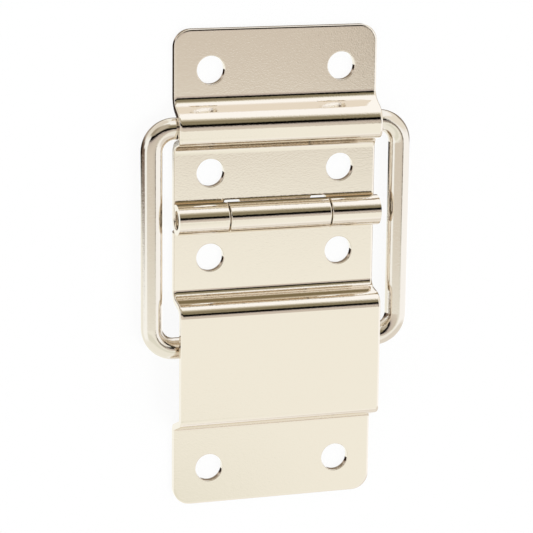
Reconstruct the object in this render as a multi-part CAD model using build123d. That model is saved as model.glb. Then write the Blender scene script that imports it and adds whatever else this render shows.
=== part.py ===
"""Lid stop hinge: two stamped leaves on a pin, with a wire ring that stops the lid.

The hinge lies closed and flat, as it is screwed or riveted over the joint of a case
and its lid. X runs along the pin, Y from the case leaf to the lid leaf, and Z out of
the mounting plane. The origin is on the mounting plane, at the centre of the case
leaf's four holes. Sizes are in millimetres.
"""
from build123d import *

import os
from math import cos, radians, sin

# Stamped sheet
SHEET = 1.2                 # thickness of both leaves
LEAF_WIDTH = 38.1           # 1 1/2 in, along the pin
CORNER_R = 3.2              # outer corners of the two end flanges
ROLL_R = 1.1                # die roll along the outline, on the front
ROLL_TURN = 25.0            # degrees that it turns before it meets the cut edge
RIM_R = 0.2                 # plated-over corner between the roll and the cut edge
NOTCH_ROLL = 0.35           # die roll beside the knuckles
KNUCKLE_ROLL = 0.2          # die roll at the knuckle ends
HOLE_ROLL = 0.15            # die roll round the holes

# Hole pattern, measured from the pin line
HOLE_R = 2.55
HOLE_PITCH_X = 24.5
LID_HOLES_Y = (8.0, 26.6)
CASE_HOLES_Y = (-7.6, -47.5)
PIN_Y = -sum(CASE_HOLES_Y) / 2      # pin line in the part's own frame

# Ends of the leaves, measured from the pin line
LID_END = 34.0
CASE_END = -54.3

# Ridge of the lid leaf, which holds the ring's upper leg
RIDGE_HEIGHT = 4.12         # front of the ridge over the front of the flange
RIDGE_HEAD = 22.1           # where its upper slope leaves the end flange
RIDGE_TOP = 1.35            # flat on top of the ridge
RIDGE_TILT = 3.5            # degrees that the flat falls towards the pin
RIDGE_HEAD_SLOPE = 60.0     # degrees off the mounting plane
RIDGE_FOOT_SLOPE = 72.0
RIDGE_HEAD_BENDS = (2.1, 2.05)      # inside bend radii, flange first
RIDGE_FOOT_BENDS = (1.7, 0.5)

# Channel of the case leaf, in which the ring's lower leg slides
CHANNEL_HEIGHT = 5.0
CHANNEL_HEAD = -13.4
CHANNEL_FOOT = -40.1
CHANNEL_HEAD_SLOPE = 79.0
CHANNEL_FOOT_SLOPE = 67.0
CHANNEL_HEAD_BENDS = (1.35, 1.35)
CHANNEL_FOOT_BENDS = (0.4, 0.4)

# Knuckles and pin
PIN_R = 1.5875              # 1/8 in, tight in the lid leaf's two knuckles
PIN_MIDDLE_R = 1.55         # running clearance in the case leaf's knuckle
PIN_LENGTH = 36.5
PIN_CHAMFER = 0.25
ROLL_ANGLE = 303.0          # the knuckle closes on the leaf's own front face
KNUCKLE_HALF = 9.6          # centre of the gap between two knuckles
KNUCKLE_GAP = 0.2
NOTCH_EDGE = 2.42           # leaf edge beside the other leaf's knuckle
RELIEF_WIDTH = 3.0
RELIEF_EDGE = 2.9
RELIEF_R = 0.3

# Wire ring
WIRE_R = 1.985              # 5/32 in wire
RING_WIDTH = 46.8           # between the centres of its side bars
RING_CORNER_R = 4.1         # on the wire's centre line
RING_HEAD = 16.48           # upper leg, from the pin line
RING_FOOT = -23.95          # lower leg, from the pin line
RING_BACK = 0.05            # play between the wire and the mounting plane

PIN_Z = PIN_R + SHEET       # the knuckles' backs are flush with the mounting plane
RING_Z = WIRE_R + RING_BACK
ROLL_DEPTH = ROLL_R * (1 - cos(radians(ROLL_TURN)))
BLANK = ROLL_R * (1 - sin(radians(ROLL_TURN)))      # sheet trimmed off along the outline
BIG = 100.0                 # longer than the part, for cutting tools


def turned(vector, degrees):
    """A YZ vector turned from +Y towards +Z."""
    c, s = cos(radians(degrees)), sin(radians(degrees))
    return (vector[0] * c - vector[1] * s, vector[0] * s + vector[1] * c)


def added(point, vector, scale=1.0):
    return (point[0] + scale * vector[0], point[1] + scale * vector[1])


def bent_strip(start_y, heading, steps):
    """Section of a strip of sheet that starts flat on the mounting plane.

    heading is 0 towards +Y or 180 towards -Y. A step is a straight length, or a pair
    of inside radius and turn in degrees, positive from +Y towards +Z. Returned with the
    section are its two long sides, 1 on the left of the path and -1 on its right.
    """
    here = (start_y, SHEET / 2)
    sides = {1: [], -1: []}
    for step in steps:
        ahead = turned((1, 0), heading)
        left = turned(ahead, 90)
        if isinstance(step, tuple):
            radius, turn = step
            hand = 1 if turn > 0 else -1
            centre = added(here, left, hand * (radius + SHEET / 2))
            for side, edges in sides.items():
                spoke = added(added(here, left, side * SHEET / 2), centre, -1)
                points = [added(centre, turned(spoke, turn * part)) for part in (0, 0.5, 1)]
                edges.append(ThreePointArc(*points))
            here = added(centre, turned(added(here, centre, -1), turn))
            heading += turn
        else:
            there = added(here, ahead, step)
            for side, edges in sides.items():
                offset = side * SHEET / 2
                edges.append(Line(added(here, left, offset), added(there, left, offset)))
            here = there
    caps = [Line(sides[1][0] @ 0, sides[-1][0] @ 0), Line(sides[1][-1] @ 1, sides[-1][-1] @ 1)]
    return make_face(Curve() + sides[1] + sides[-1] + caps), sides


def slope_run(height, slope, bends, tilt=0.0):
    """Straight length of a slope that rises by height, from flat to a top that falls by tilt."""
    low, high = (bend + SHEET / 2 for bend in bends)
    by_bends = low * (1 - cos(radians(slope))) + high * (cos(radians(tilt)) - cos(radians(slope)))
    return (height - by_bends) / sin(radians(slope))


def slope_reach(height, slope, bends, tilt=0.0):
    """Length along Y of that slope with its two bends."""
    low, high = (bend + SHEET / 2 for bend in bends)
    run = slope_run(height, slope, bends, tilt)
    return (low + high) * sin(radians(slope)) + run * cos(radians(slope)) + high * sin(radians(tilt))


def leaf_blank(section, sides, end_y):
    """Leaf with the die roll along its sides and its end, trimmed to its outline.

    sides holds the long side of the section that is the leaf's front.
    """
    leaf = extrude(Plane.YZ * section, amount=LEAF_WIDTH / 2 + BLANK, both=True)
    front = Plane.YZ * (Curve() + sides)
    outer_x = LEAF_WIDTH / 2 + BLANK
    corners = [
        edge for edge in leaf.edges().filter_by(Axis.Z)
        if abs(abs(edge.center().Y) - abs(end_y) - BLANK) < 0.01
    ]
    leaf = fillet(corners, CORNER_R + BLANK)
    rims = [
        edge for edge in leaf.edges()
        if edge.bounding_box().size.X < 0.01 and abs(abs(edge.position_at(0.5).X) - outer_x) < 0.01
        and front_gap(front, edge) < 0.001
    ]
    leaf = fillet(rims, ROLL_R)
    side = 1 if end_y > 0 else -1
    outline = Pos(0, end_y - side * BIG / 2, 0) * Box(LEAF_WIDTH, BIG, BIG)
    corners = outline.edges().filter_by(Axis.Z).filter_by(lambda edge: abs(edge.center().Y - end_y) < 0.01)
    leaf &= fillet(corners, CORNER_R)
    return fillet([edge for edge in leaf.edges() if abs(front_gap(front, edge) - ROLL_DEPTH) < 0.004], RIM_R)


def front_gap(front, edge):
    """Distance of the middle of an edge from the leaf's front."""
    middle = edge.position_at(0.5)
    return front.distance_to(Vector(0, middle.Y, middle.Z))


def knuckle_notch(x_range, side):
    """Cutter that clears the other leaf's knuckle from a leaf on the side 1 (+Y) or -1 (-Y)."""
    wide, middle_x = x_range[1] - x_range[0], (x_range[0] + x_range[1]) / 2
    reach = PIN_Z + KNUCKLE_GAP
    flange = Pos(middle_x, side * (NOTCH_EDGE - BIG / 2), 0) * Box(wide, BIG, BIG)
    over_it = Pos(middle_x, side * (reach - BIG / 2), SHEET + BIG / 2) * Box(wide, BIG, BIG)
    return flange + over_it


def holes(rows):
    """Cutters for the holes of one leaf."""
    return [
        Pos(side * HOLE_PITCH_X / 2, row, 0) * Cylinder(HOLE_R, BIG)
        for row in rows for side in (-1, 1)
    ]


def reliefs(inner_x, edge_y):
    """Cutters for the two slots that free the knuckles from the leaf's edge."""
    slot = extrude(RectangleRounded(RELIEF_WIDTH, 2 * RELIEF_WIDTH, RELIEF_R), amount=SHEET + 0.1)
    middle_y = edge_y - RELIEF_WIDTH if edge_y > 0 else edge_y + RELIEF_WIDTH
    return [Pos(side * (inner_x + RELIEF_WIDTH / 2), middle_y, 0) * slot for side in (-1, 1)]


def roll_notch_rims(leaf, edge_y):
    """Round the front rims of the leaf edges beside the other leaf's knuckles."""
    rims = [
        edge for edge in leaf.edges().filter_by(Axis.X)
        if abs(edge.center().Y - edge_y) < 0.01 and abs(edge.center().Z - SHEET) < 0.01
    ]
    return fillet(rims, NOTCH_ROLL)


def roll_hole_rims(leaf):
    """Round the front rims of the holes."""
    rims = [
        edge for edge in leaf.edges().filter_by(GeomType.CIRCLE)
        if abs(edge.radius - HOLE_R) < 0.01 and edge.bounding_box().size.Z < 0.01
        and abs(edge.center().Z - SHEET) < 0.01
    ]
    return fillet(rims, HOLE_ROLL)


def roll_knuckle_ends(leaf, planes_x):
    """Round the outer rims of the knuckles that end on the planes at planes_x."""
    rims = []
    for edge in leaf.edges().filter_by(GeomType.CIRCLE):
        middle = edge.position_at(0.5)
        if abs(edge.radius - PIN_Z) < 0.01 and any(abs(middle.X - x) < 0.01 for x in planes_x):
            rims.append(edge)
    return fillet(rims, KNUCKLE_ROLL)


def lid_leaf():
    """Leaf for the lid: end flange, ridge, middle flange and two outer knuckles."""
    foot_height = RIDGE_HEIGHT - RIDGE_TOP * sin(radians(RIDGE_TILT))
    head = (RIDGE_HEIGHT, RIDGE_HEAD_SLOPE, RIDGE_HEAD_BENDS, RIDGE_TILT)
    foot = (foot_height, RIDGE_FOOT_SLOPE, RIDGE_FOOT_BENDS, -RIDGE_TILT)
    flange_end = RIDGE_HEAD - slope_reach(*head) - slope_reach(*foot) - RIDGE_TOP * cos(radians(RIDGE_TILT))
    section, sides = bent_strip(LID_END + BLANK, 180, [
        LID_END + BLANK - RIDGE_HEAD,
        (RIDGE_HEAD_BENDS[0], -RIDGE_HEAD_SLOPE),
        slope_run(*head),
        (RIDGE_HEAD_BENDS[1], RIDGE_HEAD_SLOPE + RIDGE_TILT),
        RIDGE_TOP,
        (RIDGE_FOOT_BENDS[1], RIDGE_FOOT_SLOPE - RIDGE_TILT),
        slope_run(*foot),
        (RIDGE_FOOT_BENDS[0], -RIDGE_FOOT_SLOPE),
        flange_end,
        (PIN_R, -ROLL_ANGLE),
    ])
    leaf = leaf_blank(section, sides[-1], LID_END)
    inner = KNUCKLE_HALF + KNUCKLE_GAP / 2
    leaf -= knuckle_notch((-inner, inner), 1)
    for cutter in holes(LID_HOLES_Y) + reliefs(inner - RELIEF_WIDTH, RELIEF_EDGE):
        leaf -= cutter
    leaf = roll_hole_rims(roll_notch_rims(leaf, NOTCH_EDGE))
    return roll_knuckle_ends(leaf, (-inner, inner))


def case_leaf():
    """Leaf for the case: end flange, channel, middle flange and the centre knuckle."""
    head = (CHANNEL_HEIGHT, CHANNEL_HEAD_SLOPE, CHANNEL_HEAD_BENDS)
    foot = (CHANNEL_HEIGHT, CHANNEL_FOOT_SLOPE, CHANNEL_FOOT_BENDS)
    section, sides = bent_strip(CASE_END - BLANK, 0, [
        CHANNEL_FOOT - CASE_END + BLANK,
        (CHANNEL_FOOT_BENDS[0], CHANNEL_FOOT_SLOPE),
        slope_run(*foot),
        (CHANNEL_FOOT_BENDS[1], -CHANNEL_FOOT_SLOPE),
        CHANNEL_HEAD - CHANNEL_FOOT - slope_reach(*head) - slope_reach(*foot),
        (CHANNEL_HEAD_BENDS[1], -CHANNEL_HEAD_SLOPE),
        slope_run(*head),
        (CHANNEL_HEAD_BENDS[0], CHANNEL_HEAD_SLOPE),
        -CHANNEL_HEAD,
        (PIN_R, ROLL_ANGLE),
    ])
    leaf = leaf_blank(section, sides[1], CASE_END)
    outer = KNUCKLE_HALF - KNUCKLE_GAP / 2
    for x_range in ((-BIG, -outer), (outer, BIG)):
        leaf -= knuckle_notch(x_range, -1)
    for cutter in holes(CASE_HOLES_Y) + reliefs(outer, -RELIEF_EDGE):
        leaf -= cutter
    leaf = roll_hole_rims(roll_notch_rims(leaf, -NOTCH_EDGE))
    return roll_knuckle_ends(leaf, (-outer, outer))


def hinge_pin():
    """Pin, a little thicker where the lid leaf's knuckles grip it."""
    end, grip = PIN_LENGTH / 2, KNUCKLE_HALF + KNUCKLE_GAP
    half_section = Polyline(
        (-end, 0), (-end, PIN_R - PIN_CHAMFER), (PIN_CHAMFER - end, PIN_R),
        (-grip, PIN_R), (-grip, PIN_MIDDLE_R), (grip, PIN_MIDDLE_R), (grip, PIN_R),
        (end - PIN_CHAMFER, PIN_R), (end, PIN_R - PIN_CHAMFER), (end, 0),
        close=True,
    )
    return Pos(0, 0, PIN_Z) * revolve(make_face(half_section), Axis.X)


def stop_ring():
    """Closed rectangle of round wire."""
    middle = Plane.XY * Pos(0, (RING_HEAD + RING_FOOT) / 2, RING_Z)
    outline = RectangleRounded(RING_WIDTH, RING_HEAD - RING_FOOT, RING_CORNER_R)
    path = (middle * outline).face().outer_wire()
    section = Plane(origin=path @ 0, z_dir=path % 0) * Circle(WIRE_R)
    return sweep(section, path=path)


def main():
    os.makedirs("parts", exist_ok=True)
    pieces = {
        "lid_leaf": lid_leaf(),
        "case_leaf": case_leaf(),
        "hinge_pin": hinge_pin(),
        "stop_ring": stop_ring(),
    }
    for name, piece in pieces.items():
        export_step(Pos(0, PIN_Y, 0) * piece, f"parts/{name}.step")


main()
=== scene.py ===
"""Finishes, studio and camera for a lid stop hinge of nickel plated steel.

The hinge lies on its mounting plane. X runs along the pin, Y from the case leaf to the
lid leaf, and Z out of the plane. Sizes are in metres. Directions in the studio are given
as the hinge would see them standing up, with its lid leaf on top: height is the angle
above the level of its face, and side the angle to the right of straight ahead.
"""

from math import cos, radians, sin

import bpy
from bpy.props import FloatProperty, FloatVectorProperty, PointerProperty
from mathutils import Matrix, Vector


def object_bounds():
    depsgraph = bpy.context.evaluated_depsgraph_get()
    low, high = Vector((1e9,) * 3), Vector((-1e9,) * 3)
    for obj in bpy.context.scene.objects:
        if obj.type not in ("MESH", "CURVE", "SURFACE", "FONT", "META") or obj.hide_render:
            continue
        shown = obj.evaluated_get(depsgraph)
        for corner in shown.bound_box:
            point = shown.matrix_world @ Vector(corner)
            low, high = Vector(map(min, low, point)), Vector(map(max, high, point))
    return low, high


bl_info = {
    "name": "Lid stop hinge",
    "version": (1, 0, 0),
    "blender": (4, 5, 0),
    "location": "View3D > Sidebar > Hinge",
    "description": "Dresses a lid stop hinge and sets its studio",
    "category": "Object",
}

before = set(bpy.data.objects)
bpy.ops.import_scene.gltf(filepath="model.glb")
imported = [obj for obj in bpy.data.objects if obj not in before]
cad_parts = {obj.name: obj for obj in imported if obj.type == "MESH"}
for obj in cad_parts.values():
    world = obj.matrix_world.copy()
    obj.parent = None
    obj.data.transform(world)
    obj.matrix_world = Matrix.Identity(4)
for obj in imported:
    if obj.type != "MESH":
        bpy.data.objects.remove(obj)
CAD_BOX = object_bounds()

SENSOR_WIDTH = 36.0                     # mm
CLIP_START = 0.01                       # m
FLOOR_GAP = 0.00002                     # m
NOISE_LOW, NOISE_HIGH = 0.3, 0.7        # nearly all of a noise lies between these
HAZE_SIZE = 4                           # widths of the grain
HAZE_SPREAD = 0.25                      # of the roughness, either way
CREASE_SHADE_STARTS, CREASE_SHADE_FULL = 0.82, 0.62  # how open a place is, from 0 to 1, where the painted crease shade starts and where it is full

# The light tent. A card has a colour, then the sides and the heights in degrees where it
# starts, is full, is still full and ends. Each hangs over those before it, and all over the
# white. The camera sees the plain backdrop in its place.
EVERYWHERE = (-200, -190, 190, 200)
WHITE = (1.12, 1.16, 1.15)
BACKDROP = (1.0, 1.0, 1.0)
WALLS = {
    "right wall": ((1.25, 1.31, 1.42), (24, 38, 150, 178), EVERYWHERE),
    "shade on the right wall": ((1.06, 1.05, 1.02), (27, 40, 125, 160), (2, 16, 42, 52)),
    "foot of the right wall": ((0.96, 0.95, 0.93), (30, 42, 150, 178), (-80, -65, -28, -18)),
    "left wall": ((1.25, 1.33, 1.42), (-125, -105, -66, -52), (-42, -30, 28, 36)),
    "shade behind, on the left": ((0.96, 0.94, 0.90), (-190, -185, -90, -75), (14, 55, 190, 200)),
    "dusk behind, on the left": ((0.62, 0.55, 0.50), (-190, -185, -135, -118), (-8, 5, 14, 45)),
    "brown table edge": ((0.25, 0.19, 0.15), (-190, -185, -96, -80), (-10.8, -9.7, 1, 9)),
    "brown stand on the left": ((0.20, 0.15, 0.12), (-160, -148, -114, -98), (-8, -4, 10, 24)),
    "shadow under the hinge": ((0.30, 0.25, 0.20), (100, 125, 190, 200), (-12, -2, 24, 34)),
    "left end of it": ((0.30, 0.25, 0.20), (-190, -185, -162, -150), (12, 16, 24, 34)),
    "dark seam": ((0.03, 0.02, 0.015), (-190, -185, -136, -122), (-10.8, -9.7, 1, 9)),
    "low front": ((0.97, 1.01, 0.96), (-70, -55, 15, 19), (-40, -30, -19, -17.5)),
    "front": ((1.01, 1.04, 1.03), (-70, -55, 17, 26), (-13, -10.8, -4, 0)),
}

# The opening straight ahead, and the colours of the room behind it by height in degrees,
# which arch up towards the left. Its edges run from where it starts to where it is full.
ROOM = (
    (-20, (0.86, 0.82, 0.77)), (-5, (0.78, 0.74, 0.70)), (0, (0.72, 0.66, 0.64)),
    (4, (0.60, 0.56, 0.55)), (9, (0.08, 0.07, 0.065)), (11, (0.0, 0.0, 0.0)),
    (21, (0.0, 0.0, 0.0)), (25, (0.24, 0.22, 0.15)), (28, (0.33, 0.30, 0.21)),
    (39, (0.30, 0.27, 0.18)), (44, (0.44, 0.40, 0.30)), (53, (0.68, 0.65, 0.56)),
    (58, (1.12, 1.14, 1.12)), (64, (1.3, 1.4, 1.5)),
)
OPENING_FOOT = (-10.9, -8.8)
OPENING_LEFT = (-70.0, -58.0)
OPENING_RIGHT = (34.0, 24.0)
ARCH_SIDES = (17.0, -8.0)
ARCH_HEIGHT = 13.0
IN_THE_OPENING = {
    "pale drape": ((0.62, 0.58, 0.50), (-85, -70, -6, 8), (31, 40, 66, 80)),
    "grey post": ((0.22, 0.20, 0.17), (19.5, 23.5, 27, 32), (-10.5, -9, 2, 6)),
    "olive drape": ((0.47, 0.43, 0.35), (-98, -84, -58, -45), (34, 42, 58, 70)),
}


class PlatingProperties(bpy.types.PropertyGroup):
    """Bright nickel plate of the leaves and the ring."""
    sheet_colour: FloatVectorProperty(
        name="Sheet colour", description="Colour of the plate on the stamped leaves",
        subtype="COLOR", size=3, min=0.0, max=1.0, default=(0.78, 0.70, 0.59))
    wire_colour: FloatVectorProperty(
        name="Wire colour", description="Colour of the plate on the ring",
        subtype="COLOR", size=3, min=0.0, max=1.0, default=(0.735, 0.665, 0.565))
    pin_colour: FloatVectorProperty(
        name="Pin colour", description="Colour of the pin's cut ends",
        subtype="COLOR", size=3, min=0.0, max=1.0, default=(0.62, 0.59, 0.53))
    # Painted shade: the colour the plate darkens to down in its creases, where shade falls.
    crease_shade_colour: FloatVectorProperty(
        name="Crease colour", description="Colour of the thin plate down in the creases",
        subtype="COLOR", size=3, min=0.0, max=1.0, default=(0.56, 0.43, 0.27))
    # How far out from a wall the painted crease shade reaches.
    crease_shade_reach: FloatProperty(
        name="Crease width", description="How far a wall thins the plate beside it",
        unit="LENGTH", default=0.0008)
    roughness: FloatProperty(
        name="Roughness", description="How far the plate blurs what it reflects",
        min=0.0, max=1.0, default=0.02)
    ring_lean: FloatProperty(
        name="Ring lean", description="How far the ring leans back in its play",
        subtype="ANGLE", default=radians(1.6))
    grain_size: FloatProperty(
        name="Grain size", description="Width of the small ripples in the plate",
        unit="LENGTH", default=0.00022)
    grain_depth: FloatProperty(
        name="Grain depth", description="Depth of the small ripples in the plate",
        unit="LENGTH", default=0.000008)
    wave_size: FloatProperty(
        name="Wave size", description="Width of the slow waves in the rolled sheet",
        unit="LENGTH", default=0.009)
    wave_depth: FloatProperty(
        name="Wave depth", description="Depth of the slow waves in the rolled sheet",
        unit="LENGTH", default=0.000009)


class StudioProperties(bpy.types.PropertyGroup):
    """Floor, light tent and camera."""
    floor_size: FloatProperty(
        name="Floor size", description="Side of the floor", unit="LENGTH", default=6.0)
    floor_colour: FloatVectorProperty(
        name="Floor colour", description="Colour of the floor under the lamp",
        subtype="COLOR", size=3, min=0.0, max=1.0, default=(0.92, 0.92, 0.92))
    floor_glow: FloatProperty(
        name="Floor glow", description="Share of the white behind that shows through the floor",
        min=0.0, max=1.0, default=0.93)
    lamp_strength: FloatProperty(
        name="Lamp strength", description="Strength of the lamp that casts the shadow",
        min=0.0, default=0.9)
    lamp_spread: FloatProperty(
        name="Lamp spread", description="Width of the lamp as the hinge sees it",
        subtype="ANGLE", default=radians(25))
    lamp_side: FloatVectorProperty(
        name="Lamp side", description="Direction from the hinge to the lamp",
        subtype="DIRECTION", size=3, default=(0.55, -0.35, 1.0))
    view_side: FloatProperty(
        name="View side", description="Angle of the camera to the right of the hinge's face",
        subtype="ANGLE", default=radians(-17.39))
    view_height: FloatProperty(
        name="View height", description="Angle of the camera above the hinge's face",
        subtype="ANGLE", default=radians(13.291))
    view_roll: FloatProperty(
        name="View roll", description="Turn of the camera about its line of sight",
        subtype="ANGLE", default=radians(0.622))
    camera_place: FloatVectorProperty(
        name="Camera place", description="Where the camera stands, in the hinge's frame",
        subtype="XYZ", unit="LENGTH", size=3, default=(-0.126808, 0.116644, 0.401217))
    focal_length: FloatProperty(
        name="Focal length", description="Lens of the camera, in millimetres",
        default=159.2)


class Graph:
    """Adds shader nodes to a tree and links them by value or by socket."""

    def __init__(self, tree):
        self.tree = tree
        tree.nodes.clear()

    def feed(self, socket, value):
        if isinstance(value, bpy.types.NodeSocket):
            self.tree.links.new(value, socket)
        else:
            socket.default_value = value

    def node(self, kind, values=None, **settings):
        made = self.tree.nodes.new(kind)
        for name, value in settings.items():
            setattr(made, name, value)
        for key, value in (values or {}).items():
            self.feed(made.inputs[key], value)
        return made

    def math(self, operation, first, second=None):
        """A sum on one or two values."""
        values = {0: first} if second is None else {0: first, 1: second}
        return self.node("ShaderNodeMath", values, operation=operation).outputs[0]

    def rise(self, value, low, high):
        """0 below low, 1 above high, and smooth between them."""
        values = {"Value": value, "From Min": low, "From Max": high}
        return self.node("ShaderNodeMapRange", values, interpolation_type="SMOOTHSTEP").outputs[0]

    def mix(self, share, first, second):
        """first where share is 0, second where it is 1."""
        made = self.node("ShaderNodeMix", data_type="RGBA")
        for key, value in ((0, share), (6, first), (7, second)):
            self.feed(made.inputs[key], value)
        return made.outputs[2]

    def ramp(self, height, stops):
        """Colour by height in degrees; stops are pairs of a height and a colour."""
        along = self.math("DIVIDE", self.math("ADD", height, 90.0), 180.0)
        made = self.node("ShaderNodeValToRGB", {0: along})
        elements = made.color_ramp.elements
        while len(elements) < len(stops):
            elements.new(1.0)
        for element, (stop, colour) in zip(elements, stops):
            element.position = (stop + 90) / 180
            element.color = (*colour, 1.0)
        return made.outputs[0]


def plating(name, colour, plate, waves=False, lean=0.0):
    """Bright plate: slow waves from rolling the sheet, a fine grain over them, and painted shade in
    its creases.

    lean tilts only the shading normals, as though the piece leaned back about the pin's direction
    in its play.
    """
    material = bpy.data.materials.new(name)
    material.use_nodes = True
    graph = Graph(material.node_tree)
    place = graph.node("ShaderNodeTexCoord").outputs["Object"]
    grain = graph.node("ShaderNodeTexNoise", {
        "Vector": place, "Scale": 1 / plate.grain_size, "Detail": 2.0, "Roughness": 0.5})
    facing = graph.node("ShaderNodeNewGeometry").outputs["Normal"]
    leaning = graph.node("ShaderNodeVectorMath", {0: facing, 1: (0, sin(lean), 0)}, operation="ADD")
    grained = graph.node("ShaderNodeBump", {
        "Height": grain.outputs[0], "Distance": plate.grain_depth, "Strength": 1.0,
        "Normal": leaning.outputs[0]})
    normal = grained.outputs[0]
    if waves:
        wave = graph.node("ShaderNodeTexNoise", {
            "Vector": place, "Scale": 1 / plate.wave_size, "Detail": 1.0, "Roughness": 0.4})
        normal = graph.node("ShaderNodeBump", {
            "Height": wave.outputs[0], "Distance": plate.wave_depth, "Strength": 1.0,
            "Normal": normal}).outputs[0]
    haze = graph.node("ShaderNodeTexNoise", {
        "Vector": place, "Scale": 1 / (HAZE_SIZE * plate.grain_size), "Detail": 3.0})
    spread = graph.node("ShaderNodeMapRange", {
        "Value": haze.outputs[0], "From Min": NOISE_LOW, "From Max": NOISE_HIGH,
        "To Min": (1 - HAZE_SPREAD) * plate.roughness,
        "To Max": (1 + HAZE_SPREAD) * plate.roughness})
    # Painted shade: where little around a point is open, as in creases and at the foot of walls,
    # the plate colour darkens towards the crease colour.
    openness = graph.node(
        "ShaderNodeAmbientOcclusion", {"Distance": plate.crease_shade_reach}, samples=8, only_local=True)
    crease_shade_share = graph.rise(openness.outputs["AO"], CREASE_SHADE_STARTS, CREASE_SHADE_FULL)
    tone = graph.mix(crease_shade_share, (*colour, 1.0), (*plate.crease_shade_colour, 1.0))
    skin = graph.node("ShaderNodeBsdfPrincipled", {
        "Base Color": tone, "Metallic": 1.0, "Roughness": spread.outputs[0],
        "Normal": normal})
    graph.node("ShaderNodeOutputMaterial", {"Surface": skin.outputs[0]})
    return material


def dress(node, material):
    """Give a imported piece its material."""
    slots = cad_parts[node].material_slots
    if not slots:
        raise RuntimeError(f"{node} has no material slot")
    for slot in slots:
        slot.material = material


class HINGE_OT_leaves(bpy.types.Operator):
    """Plate the two stamped leaves"""
    bl_idname = "hinge.leaves"
    bl_label = "Plate the leaves"

    def execute(self, context):
        plate = context.scene.hinge_plating
        for leaf in ("case_leaf", "lid_leaf"):
            dress(leaf, plating(f"{leaf}_plate", plate.sheet_colour, plate, waves=True))
        return {"FINISHED"}


class HINGE_OT_ring(bpy.types.Operator):
    """Plate the wire ring"""
    bl_idname = "hinge.ring"
    bl_label = "Plate the stop ring"

    def execute(self, context):
        plate = context.scene.hinge_plating
        dress("stop_ring", plating("ring_plate", plate.wire_colour, plate, lean=plate.ring_lean))
        return {"FINISHED"}


class HINGE_OT_pin(bpy.types.Operator):
    """Finish the hinge pin"""
    bl_idname = "hinge.pin"
    bl_label = "Finish the pin"

    def execute(self, context):
        plate = context.scene.hinge_plating
        dress("hinge_pin", plating("pin_ends", plate.pin_colour, plate))
        return {"FINISHED"}


def lay_floor(studio):
    """Floor under the hinge: it takes a faint shadow, and the white behind shows through."""
    half = studio.floor_size / 2
    corners = [(-half, -half, 0), (half, -half, 0), (half, half, 0), (-half, half, 0)]
    mesh = bpy.data.meshes.new("floor")
    mesh.from_pydata(corners, [], [(0, 1, 2, 3)])
    floor = bpy.data.objects.new("floor", mesh)
    floor.location.z = CAD_BOX[0][2] - FLOOR_GAP
    bpy.context.scene.collection.objects.link(floor)
    material = bpy.data.materials.new("floor_white")
    material.use_nodes = True
    graph = Graph(material.node_tree)
    path = graph.node("ShaderNodeLightPath").outputs
    lit = graph.node("ShaderNodeBsdfDiffuse", {"Color": (*studio.floor_colour, 1.0)})
    clear = graph.node("ShaderNodeBsdfTransparent")
    seen = graph.math("MULTIPLY", path["Is Camera Ray"], studio.floor_glow)
    mirrored = graph.math("MAXIMUM", path["Is Glossy Ray"], path["Is Transmission Ray"])
    through = graph.math("MAXIMUM", seen, mirrored)
    skin = graph.node("ShaderNodeMixShader", {0: through, 1: lit.outputs[0], 2: clear.outputs[0]})
    graph.node("ShaderNodeOutputMaterial", {"Surface": skin.outputs[0]})
    mesh.materials.append(material)


def hang_light_tent():
    """World light: a white tent with the grey and dark things that stood in its openings."""
    world = bpy.data.worlds.new("light_tent")
    bpy.context.scene.world = world
    world.use_nodes = True
    graph = Graph(world.node_tree)
    ray = graph.node("ShaderNodeTexCoord").outputs["Generated"]
    axes = graph.node("ShaderNodeSeparateXYZ", {0: ray}).outputs
    height = graph.math("DEGREES", graph.math("ARCSINE", axes["Y"]))
    side = graph.math("DEGREES", graph.math("ARCTAN2", axes["X"], axes["Z"]))

    def hang(tent, cards):
        for colour, *ranges in cards.values():
            share = 1.0
            for value, (start, full, still_full, end) in zip((side, height), ranges):
                share = graph.math("MULTIPLY", share, graph.rise(value, start, full))
                share = graph.math("MULTIPLY", share, graph.rise(value, end, still_full))
            tent = graph.mix(share, tent, (*colour, 1.0))
        return tent

    tent = hang((*WHITE, 1.0), WALLS)
    arch = graph.math("MULTIPLY", graph.rise(side, *ARCH_SIDES), ARCH_HEIGHT)
    room = graph.ramp(graph.math("SUBTRACT", height, arch), ROOM)
    share = graph.rise(height, *OPENING_FOOT)
    for edge in (OPENING_LEFT, OPENING_RIGHT):
        share = graph.math("MULTIPLY", share, graph.rise(side, *edge))
    tent = hang(graph.mix(share, tent, room), IN_THE_OPENING)
    seen = graph.node("ShaderNodeLightPath").outputs["Is Camera Ray"]
    colour = graph.mix(seen, tent, (*BACKDROP, 1.0))
    light = graph.node("ShaderNodeBackground", {"Color": colour, "Strength": 1.0})
    graph.node("ShaderNodeOutputWorld", {"Surface": light.outputs[0]})


def hang_lamp(studio):
    """Lamp low on the right, which lays the shadow and stays out of the reflections."""
    lamp = bpy.data.lights.new("shadow_lamp", "SUN")
    lamp.energy = studio.lamp_strength
    lamp.angle = studio.lamp_spread
    placed = bpy.data.objects.new("shadow_lamp", lamp)
    placed.rotation_euler = Vector(studio.lamp_side).to_track_quat("Z", "Y").to_euler()
    placed.visible_glossy = False
    bpy.context.scene.collection.objects.link(placed)


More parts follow.
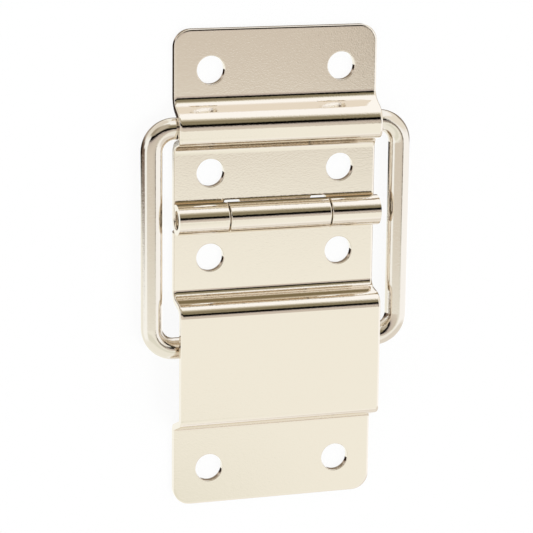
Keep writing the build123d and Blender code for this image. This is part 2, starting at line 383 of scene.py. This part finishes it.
def set_camera(studio):
    """Camera at the photograph's viewing angle."""
    side, height, roll = studio.view_side, studio.view_height, studio.view_roll
    back = Vector((sin(side) * cos(height), sin(height), cos(side) * cos(height)))
    level = Vector((0, 1, 0)).cross(back).normalized()
    upright = back.cross(level)
    right = level * cos(roll) + upright * sin(roll)
    above = upright * cos(roll) - level * sin(roll)
    lens = bpy.data.cameras.new("camera")
    lens.sensor_width = SENSOR_WIDTH
    lens.lens = studio.focal_length
    lens.clip_start = CLIP_START
    camera = bpy.data.objects.new("camera", lens)
    turn = Matrix((right, above, back)).transposed().to_4x4()
    camera.matrix_world = Matrix.Translation(studio.camera_place) @ turn
    bpy.context.scene.collection.objects.link(camera)
    bpy.context.scene.camera = camera


class HINGE_OT_studio(bpy.types.Operator):
    """Lay the floor, hang the light and set the camera"""
    bl_idname = "hinge.studio"
    bl_label = "Set the studio"

    def execute(self, context):
        studio = context.scene.hinge_studio
        lay_floor(studio)
        hang_light_tent()
        hang_lamp(studio)
        set_camera(studio)
        context.scene.view_settings.view_transform = "Standard"
        return {"FINISHED"}


class HINGE_PT_panel(bpy.types.Panel):
    """Steps that dress the hinge"""
    bl_label = "Lid stop hinge"
    bl_idname = "HINGE_PT_panel"
    bl_space_type = "VIEW_3D"
    bl_region_type = "UI"
    bl_category = "Hinge"

    def draw(self, context):
        column = self.layout.column()
        for group in (context.scene.hinge_plating, context.scene.hinge_studio):
            for name in group.__annotations__:
                column.prop(group, name)
        for step in STEPS:
            column.operator(step.bl_idname)


STEPS = (HINGE_OT_leaves, HINGE_OT_ring, HINGE_OT_pin, HINGE_OT_studio)
CLASSES = (PlatingProperties, StudioProperties, *STEPS, HINGE_PT_panel)


def register():
    for each in CLASSES:
        bpy.utils.register_class(each)
    bpy.types.Scene.hinge_plating = PointerProperty(type=PlatingProperties)
    bpy.types.Scene.hinge_studio = PointerProperty(type=StudioProperties)


def unregister():
    del bpy.types.Scene.hinge_plating
    del bpy.types.Scene.hinge_studio
    for each in reversed(CLASSES):
        bpy.utils.unregister_class(each)


def main():
    register()
    bpy.ops.hinge.leaves()
    bpy.ops.hinge.ring()
    bpy.ops.hinge.pin()
    bpy.ops.hinge.studio()


if __name__ == "__main__":
    main()
